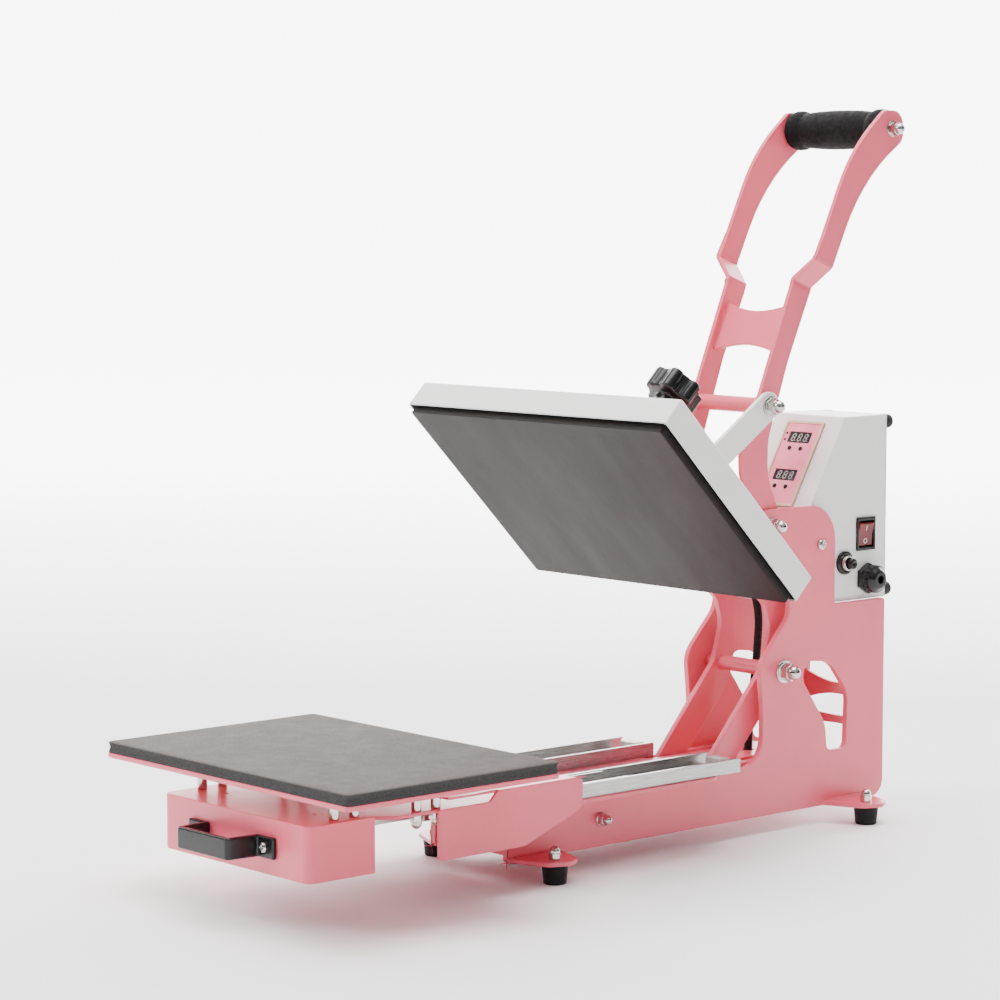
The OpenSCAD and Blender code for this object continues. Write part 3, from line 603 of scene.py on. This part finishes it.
def lathe(profile, steps=48, ribs=0, rib_depth=0.0):
    """A turned shape from (radius, height) pairs. Ends at radius 0 close to a point."""
    verts, rings = [], []
    for radius, height in profile:
        if radius == 0:
            rings.append([len(verts)])
            verts.append((0, 0, height))
            continue
        ring = []
        for k in range(steps):
            turn = 2 * math.pi * k / steps
            wave = 0.5 + 0.5 * math.cos(ribs * turn) if ribs else 0
            reach = radius + rib_depth * wave * wave
            ring.append(len(verts))
            verts.append((reach * math.cos(turn), reach * math.sin(turn), height))
        rings.append(ring)
    faces = []
    for low, high in zip(rings, rings[1:]):
        for k in range(steps):
            n = (k + 1) % steps
            corners = [low[k % len(low)], low[n % len(low)], high[n % len(high)], high[k % len(high)]]
            unique = list(dict.fromkeys(corners))
            if len(unique) > 2:
                faces.append(tuple(unique))
    return verts, faces


def prism(outline, low, high):
    """A flat-sided solid from an outline of (x, y) points."""
    n = len(outline)
    verts = [(x, y, z) for z in (low, high) for x, y in outline]
    faces = [tuple(range(n - 1, -1, -1)), tuple(range(n, 2 * n))]
    faces += [(k, (k + 1) % n, n + (k + 1) % n, n + k) for k in range(n)]
    return verts, faces


def ring_prism(outer, inner, low, high):
    """A frame between two outlines with the same number of points."""
    n = len(outer)
    verts = [(x, y, z) for outline in (outer, inner) for z in (low, high) for x, y in outline]
    faces = []
    for k in range(n):
        m = (k + 1) % n
        faces += [(k, m, n + m, n + k), (2 * n + m, 2 * n + k, 3 * n + k, 3 * n + m),
                  (n + k, n + m, 3 * n + m, 3 * n + k), (m, k, 2 * n + k, 2 * n + m)]
    return verts, faces


def rounded_box(half_x, half_y, radius, mid=(0, 0), steps=6, along=1):
    """Outline of a rectangle with rounded corners; along splits each straight side."""
    points = []
    for index, (sx, sy) in enumerate([(1, 1), (-1, 1), (-1, -1), (1, -1)]):
        for k in range(steps + 1):
            turn = math.pi / 2 * (index + k / steps)
            points.append((sx * (half_x - radius) + radius * math.cos(turn),
                           sy * (half_y - radius) + radius * math.sin(turn)))
    outline = []
    for a, b in zip(points, points[1:] + points[:1]):
        parts = along if math.dist(a, b) > radius * 1.5 else 1
        outline += [(a[0] + (b[0] - a[0]) * t / parts, a[1] + (b[1] - a[1]) * t / parts)
                    for t in range(parts)]
    return [(x + mid[0], y + mid[1]) for x, y in outline]


def smooth_path(points, per=6):
    """A curve through the points."""
    path = []
    last = len(points) - 1
    for i in range(last):
        a, b, c, d = (Vector(points[min(max(i + k, 0), last)]) for k in (-1, 0, 1, 2))
        for step in range(per):
            t = step / per
            path.append(0.5 * (2 * b + (c - a) * t + (2 * a - 5 * b + 4 * c - d) * t * t
                               + (3 * b - a - 3 * c + d) * t ** 3))
    path.append(Vector(points[last]))
    return path


def tube(path, radius, sides=12, closed=False):
    """A round bar along a path. The radius is a number or a function of the point's number."""
    size = radius if callable(radius) else (lambda i: radius)
    n = len(path)
    verts, faces = [], []
    side = None
    for i, point in enumerate(path):
        before = path[(i - 1) % n] if closed else path[max(i - 1, 0)]
        after = path[(i + 1) % n] if closed else path[min(i + 1, n - 1)]
        heading = (after - before).normalized()
        if side is None:
            side = heading.orthogonal()
        side = (side - heading * side.dot(heading)).normalized()
        up = heading.cross(side)
        for k in range(sides):
            turn = 2 * math.pi * k / sides
            verts.append(point + size(i) * (math.cos(turn) * side + math.sin(turn) * up))
    for i in range(n if closed else n - 1):
        m = (i + 1) % n
        for k in range(sides):
            j = (k + 1) % sides
            faces.append((i * sides + k, i * sides + j, m * sides + j, m * sides + k))
    if not closed:
        faces += [tuple(range(sides - 1, -1, -1)), tuple((n - 1) * sides + k for k in range(sides))]
    return verts, faces


# ---- Soft pieces ----

def add_silicone_pad():
    """A sponge slab: crowned a little, its cut sides drawn in, its corners softened."""
    low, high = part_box("silicone_pad")
    mid = ((low[0] + high[0]) / 2, (low[1] + high[1]) / 2)
    half = ((high[0] - low[0]) * 500, (high[1] - low[1]) * 500)
    thick = (high[2] - low[2]) * 1000
    profile = [(60, 0), (1.0, 0), (0.3, 0.5), (0.5, 2.0), (1.1, 4.0), (1.1, 6.0), (0.5, 7.9), (0.25, 8.7),
               (0.7, 9.3), (2.0, 9.62), (6, 9.75), (16, 9.86), (34, 9.95), (62, 10.0), (95, 10.0)]
    verts, faces, marks = [], [], []
    count = 0
    for inset, z in profile:
        outline = rounded_box(half[0] - inset, half[1] - inset, max(4 - inset * 0.03, 1.2), along=24)
        count = len(outline)
        verts += [(x, y, z * thick / 10) for x, y in outline]
    rings = len(profile)
    for i in range(rings - 1):
        for k in range(count):
            m = (k + 1) % count
            faces.append((i * count + k, i * count + m, (i + 1) * count + m, (i + 1) * count + k))
            marks.append(1 if 1 <= i <= 6 else 0)
    faces += [tuple(range(count - 1, -1, -1)), tuple((rings - 1) * count + k for k in range(count))]
    marks += [0, 0]
    build = Build()
    build.add((verts, faces), facing(Vector((mid[0], mid[1], low[2])), (0, 0, 1), (1, 0, 0)))
    build.marks = marks
    piece = finished(build.piece("silicone_sponge", ["silicone", "silicone_edge"]), "drawer", "silicone",
                     ["silicone_pad"])


def add_foam_grip():
    """A foam tube pressed on the grip rod: full at the ends, with a shallow neck beside each."""
    half = [(4.3, 59), (12.5, 59), (15.8, 58.6), (18.0, 57.0), (18.8, 54.2), (19.0, 51.0), (18.8, 48.0),
            (18.0, 45.4), (16.9, 43.6), (16.5, 42.2), (16.6, 40.8), (17.0, 38.6), (17.5, 34), (18.2, 24),
            (18.6, 12)]
    profile = [(r, -x) for r, x in half] + [(18.7, 0)] + [(r, x) for r, x in reversed(half)]
    build = Build()
    build.add(lathe(profile + [profile[0]], 64), facing(at(0, *GRIP_AT), (1, 0, 0)))
    piece = finished(build.piece("grip_sleeve", ["foam"]), "handle", "foam", ["foam_grip"])


def add_heater_cable():
    """The cable from the cover over the pivot to the deck, drawn once where the open platen holds it; the
    rest is held.
    """
    swing = [(-158, 0), (-158, 12), (-154, 24), (-143, 34), (-126, 41), (-104, 47), (-80, 54), (-56, 58),
             (-36, 55), (-18, 44), (-4, 29), (6, 17)]
    upper = [on_swing(0, y, z) for y, z in swing]
    down = [(331, 150.7), (329, 135), (326, 115), (323, 92), (322, 72), (322, 60)]
    upper += [at(0, y, z) for y, z in down]
    held = [(0, 322, 72), (0, 322, 60), (0, 326, 51), (0, 338, 46), (-6, 356, 44), (-18, 378, 44),
            (-27, 398, 45), (-32, 412, 50), (-32, 418, 60), (-32, 418, 72), (-32, 420, 100),
            (-32, 421, 140), (-32, 420, 180), (-32, 418, 205), (-32, 418, 214)]
    weave = lambda i: 0.00372 + 0.00008 * (i % 2)
    build = Build()
    build.add(tube(smooth_path(upper, 10), weave, 16), IN_METRES)
    bending = build.piece("heater_cable_bending", ["cable_sleeve"])
    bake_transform(bending)
    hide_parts("heater_cable_swing")
    build = Build()
    build.add(tube(smooth_path([at(*p) for p in held], 10), weave, 16), IN_METRES)
    held_piece = build.piece("heater_cable_held", ["cable_sleeve"])
    finished(held_piece, "root", "cable_sleeve", ["heater_cable_fixed"])


def add_springs():
    """Closed-coil springs, hooked on the anchor bolt at one end and on the draw rod at the other."""
    tilt = math.radians(SPRING_TILT)
    along = Vector((0, math.cos(tilt), math.sin(tilt)))
    up = Vector((0, -math.sin(tilt), math.cos(tilt)))
    start, length, radius, wire, turns, per_turn = 14.0, 112.0, 5.85, 1.1, 43, 20
    hook_radius, hook_step = 4.3, 15
    build = Build()
    for x in (-SPRING_X, SPRING_X):
        origin = at(x, *SPRING_ANCHOR)
        place = lambda a, b, c: origin + (along * a + up * b) / 1000 + Vector((c / 1000, 0, 0))
        path = []
        for step in range(19):
            turn = math.radians(330 - hook_step * step)
            path.append(place(hook_radius * math.cos(turn), hook_radius * math.sin(turn), 0))
        path += [place(6.0, 4.9, 0), place(10.0, 5.7, 0)]
        steps = turns * per_turn
        for step in range(steps + 1):
            turn = 2 * math.pi * step / per_turn
            path.append(place(start + length * step / steps,
                              radius * math.cos(turn), radius * math.sin(turn)))
        path += [place(129, 5.2, 0), place(131, 4.0, 0), place(134, 3.6, 0), place(140, 3.5, 0)]
        build.add(tube(path, wire / 1000, 8), IN_METRES)
    piece = build.piece("spring_coils", ["slide_steel"])
    origin = at(0, *SPRING_ANCHOR)
    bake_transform(piece)
    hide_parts("counter_springs")


# ---- Small hard pieces ----

def cross_outline(reach, half):
    return [(reach, -half), (reach, half), (half, half), (half, reach), (-half, reach), (-half, half),
            (-reach, half), (-reach, -half), (-half, -half), (-half, -reach), (half, -reach), (half, -half)]


def add_screws(node, slot, places, head, height, shank, length):
    """Pan-head screws with a cross recess, standing for a node of plain ones."""
    build, cutter = Build(), Build()
    profile = [(0, -length), (shank, -length), (shank, 0), (head, 0), (head, 0.3 * height),
               (head * 0.97, 0.5 * height), (head * 0.86, 0.75 * height), (head * 0.62, 0.93 * height),
               (head * 0.3, 0.99 * height), (0, height)]
    for place in places:
        build.add(lathe(profile, 40), place)
        cutter.add(prism(cross_outline(head * 0.52, head * 0.12), height * 0.45, height * 1.4), place)
    piece = build.piece(node + "_heads", [slot])
    tool = cutter.piece(node + "_recess", [slot])
    cut_away(piece, tool)
    finished(piece, frame["nodes"][node]["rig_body"], slot, [node])


def add_all_screws():
    sides = [facing(at(s * PLATE_OUT, *BOX_SCREW_AT), (s, 0, 0)) for s in (-1, 1)]
    add_screws("box_screws", "plated_steel", sides, 5.2, 3.4, 2.5, 12)
    corners = [facing(on_swing(sx * 149, PLATEN_MID + sy * 96.5, 10.7), PLATEN_NORMAL)
               for sx in (-1, 1) for sy in (-1, 1)]
    add_screws("cover_screws", "black_plastic", corners, 4.6, 2.4, 2.0, 20)
    front = [facing(at(sx * 46, -290, 66), (0, -1, 0)) for sx in (-1, 1)]
    add_screws("pull_screws", "plated_steel", front, 4.4, 2.6, 2.0, 9)


def segment(x, y, across):
    """One bar of a digit, pointed at both ends."""
    long, wide = 1.55, 0.42
    points = [(-long, 0), (-long + wide, -wide), (long - wide, -wide), (long, 0), (long - wide, wide),
              (-long + wide, wide)]
    if not across:
        points = [(-b, a) for a, b in points]
    return [(x + a + 0.14 * (y + b), y + b) for a, b in points]


def add_digits():
    """Three unlit seven-bar digits in each display window."""
    build = Build()
    bars = [(0, 3.6, 1), (0, 0, 1), (0, -3.6, 1),
            (-1.8, 1.8, 0), (1.8, 1.8, 0), (-1.8, -1.8, 0), (1.8, -1.8, 0)]
    for row in (25.3, 65.2):
        for column in (-8.6, -0.9, 6.8):
            place = ON_PANEL @ Matrix.Translation((column, -row, 0))
            for x, y, across in bars:
                build.add(prism(segment(x, y, across), 0.9, 1.12), place)
            build.add(prism([(2.9 + 0.4 * math.cos(a), -3.6 + 0.4 * math.sin(a))
                             for a in (0, 0.8, 1.6, 2.4, 3.2, 4.0, 4.8, 5.6)], 0.9, 1.12), place)
    finished(build.piece("display_digits", ["segment"], smooth=False), "root", "display")


def add_panel_trim():
    """Pale gold frame round the overlay, and two indicator windows beside the upper display."""
    build = Build()
    middle = (0, -53)
    outer = rounded_box(24, 45, 2.5, middle)
    inner = rounded_box(21.4, 42.4, 1.6, middle)
    build.add(ring_prism(outer, inner, 0.1, 2.5), ON_PANEL)
    piece = with_soft_edges(build.piece("panel_trim", ["pale_gold"]), 0.0004)
    finished(piece, "root", "panel_overlay")
    build = Build()
    for s in (21.6, 28.4):
        build.add(lathe([(1.25, 1.5), (1.25, 1.9), (1.0, 2.15), (0.5, 2.3), (0, 2.35)], 24),
                  ON_PANEL @ Matrix.Translation((-18.3, -s, 0)))
    finished(build.piece("indicator_windows", ["display"]), "root", "display")


def add_rocker_marks():
    """Printed bar and ring on the two faces of the rocker."""
    build = Build()
    pivot = at(41.48, *SWITCH_AT)
    lean = Matrix.Rotation(math.radians(ROCKER_LEAN), 4, "Y")
    for z, sign in ((6.3, 1), (-6.3, -1)):
        normal = lean @ Vector((11, 0, -sign)).normalized()
        spot = pivot + (lean @ Vector((4.4 + abs(z) / 11, 0, z))) / 1000
        place = facing(spot, normal, (0, 1, 0))
        if sign > 0:
            bar = [(-0.45, -2.4), (0.45, -2.4), (0.45, 2.4), (-0.45, 2.4)]
            build.add(prism(bar, -0.1, 0.08), place)
        else:
            build.add(ring_prism(circle(2.6, 40), circle(1.8, 40), -0.1, 0.08), place)
    finished(build.piece("rocker_marks", ["mark"], smooth=False), "rocker", "red_plastic")


def add_fuse_holder():
    """Flange and nut in black plastic, a bright contact ring, and a slotted cap."""
    build = Build()
    place = on_side(FUSE_AT)
    build.add(lathe([(0, -20), (7.6, -20), (7.8, -19), (7.8, 0), (11.0, 0.02), (11.2, 0.4), (11.2, 2.4),
                     (10.7, 2.95), (7.4, 3.0), (7.4, 2.6), (0, 2.6)], 72), place)
    build.add(lathe([(7.2, 2.4), (7.2, 6.9), (6.7, 7.8), (5.4, 7.9), (5.3, 7.2), (0, 7.2)], 64), place, 1)
    build.add(lathe([(0, 7.0), (4.9, 7.0), (4.9, 12.6), (4.5, 13.5), (3.4, 13.8), (0, 13.8)],
                    48, 16, 0.12), place)
    piece = build.piece("fuse_holder_parts", ["black_plastic", "plated_steel"])
    groove = Build()
    groove.add(prism([(-3.2, -0.6), (3.2, -0.6), (3.2, 0.6), (-3.2, 0.6)], 12.4, 15), place)
    cut_away(piece, groove.piece("fuse_slot", ["black_plastic"]))
    finished(piece, "root", "black_plastic", ["fuse_holder"])


def add_pressure_screw():
    """Threaded spindle, plain where it enters the knob and where it bears on the plate."""
    crest, root, pitch, threads = 6.0, 5.35, 2, 41
    profile = [(0, 0.4), (5.4, 0.4), (crest, 1.0), (crest, 12)]
    for turn in range(threads):
        z = 13 + pitch * turn
        profile += [(crest, z), (root, z + 0.7), (root, z + 0.95), (crest, z + 1.65)]
    profile += [(crest, 98), (crest, 121.4), (5.4, 122), (0, 122)]
    build = Build()
    build.add(lathe(profile, 36), facing(on_swing(0, PLATEN_MID, 0), PLATEN_NORMAL))
    spindle = build.piece("threaded_spindle", ["plated_steel"])
    finished(spindle, "pressure", "plated_steel", ["pressure_screw"])


def add_link_nuts():
    """Steel nuts over the stub bolts at the links' lower ends."""
    build = Build()
    for side in (-1, 1):
        place = facing(at(side * LINK_OUT, *YOKE_AT), (side, 0, 0))
        build.add(lathe([(3, -0.1), (8.2, -0.1), (8.2, 1.3), (7.9, 1.55), (3, 1.6)], 48), place)
        build.add(prism(circle(7.7, 6), 1.5, 6.5), place)
    piece = with_soft_edges(build.piece("link_stub_nuts", ["plated_steel"]), 0.0004)
    finished(piece, "links", "plated_steel")


def add_gland_ribs():
    """Grip ribs round the dome nut of the gland."""
    build = Build()
    place = on_side(GLAND_AT)
    build.add(lathe([(12.4, 5.2), (12.6, 5.8), (12.6, 13.0), (12.3, 13.7), (11.5, 13.9)],
                    144, 18, 0.7), place)
    finished(build.piece("gland_ribs", ["black_plastic"]), "root", "black_plastic")


def add_knob_cap():
    """Round cap pressed into the top of the knob."""
    build = Build()
    place = facing(on_swing(0, PLATEN_MID, 127.4), PLATEN_NORMAL)
    build.add(lathe([(11.5, 0), (11.5, 0.7), (11.0, 1.3), (9.8, 1.5), (9.2, 1.1), (5, 1.25), (0, 1.35)],
                    48), place)
    finished(build.piece("knob_cap", ["black_plastic"]), "pressure", "black_plastic")


# ---- Weld beads ----

def rippled(bead, pace):
    """A bead's radius along its path, swelling at each drop."""
    return lambda i: bead * (1 + 0.14 * math.sin(i * pace))


def weld_ring(build, x, place, radius):
    """A bead round a tube or pin that passes through a plate whose face is at x."""
    steps = round(2 * math.pi * radius / 0.7)
    path = [at(x, place[0] + y, place[1] + z) for y, z in circle(radius, steps)]
    build.add(tube(path, rippled(0.0011, 1.9), 8, closed=True), IN_METRES)


def weld_line(build, a, b, bead=0.0014):
    """A straight bead between two points."""
    parts = max(1, round((b - a).length / 0.0006))
    path = [a.lerp(b, k / parts) for k in range(parts)] + [b]
    build.add(tube(path, rippled(bead, 1.7), 8), IN_METRES)


def add_welds():
    """Beads at the pivot tubes, the handle's cross plate, the foot tabs and the ties."""
    build = Build()
    for x in (-ARM_OUT, -ARM_IN, ARM_IN, ARM_OUT):
        weld_ring(build, x, MAIN_PIVOT, 7.0)
    for x in (-ARM_OUT, ARM_OUT):
        weld_ring(build, x, YOKE_AT, 9.0)
    finished(build.piece("welds_swing", ["pink_paint"]), "swing", "pink_paint")
    build = Build()
    turn = math.radians(HANDLE_TIE_LEAN)
    lean = (math.sin(turn), math.cos(turn))
    for side in (-1, 1):
        x = side * (BAR_IN - 0.2)
        weld_ring(build, x, LINK_PIVOT, 7.5)
        for face in (-2, 2):
            y, z = HANDLE_TIE_AT[0] + face * lean[1], HANDLE_TIE_AT[1] - face * lean[0]
            weld_line(build, at(x, y - 22 * lean[0], z - 22 * lean[1]),
                      at(x, y + 22 * lean[0], z + 22 * lean[1]), 0.0011)
    finished(build.piece("welds_handle", ["pink_paint"]), "handle", "pink_paint")
    build = Build()
    for side in (-1, 1):
        for y in (0, 401):
            weld_line(build, at(side * PLATE_OUT, y - 22, 21), at(side * PLATE_OUT, y + 28, 21))
        x = side * (GAP_HALF - 0.2)
        for low, high in ((80.5, 90.5), (103, 129)):
            for y in (446, 450):
                weld_line(build, at(x, y, low), at(x, y, high), 0.0012)
    finished(build.piece("welds_frame", ["pink_paint"]), "root", "pink_paint")


def main():
    add_camera()
    add_studio()
    add_floor()
    for node, slot in NODE_SLOT.items():
        if node not in MADE_HERE:
            dressed(node, slot, NODE_EDGES.get(node, EDGES[slot]))
    add_silicone_pad()
    add_foam_grip()
    add_heater_cable()
    add_springs()
    add_all_screws()
    add_digits()
    add_panel_trim()
    add_rocker_marks()
    add_fuse_holder()
    add_pressure_screw()
    add_link_nuts()
    add_gland_ribs()
    add_knob_cap()
    add_welds()


main()
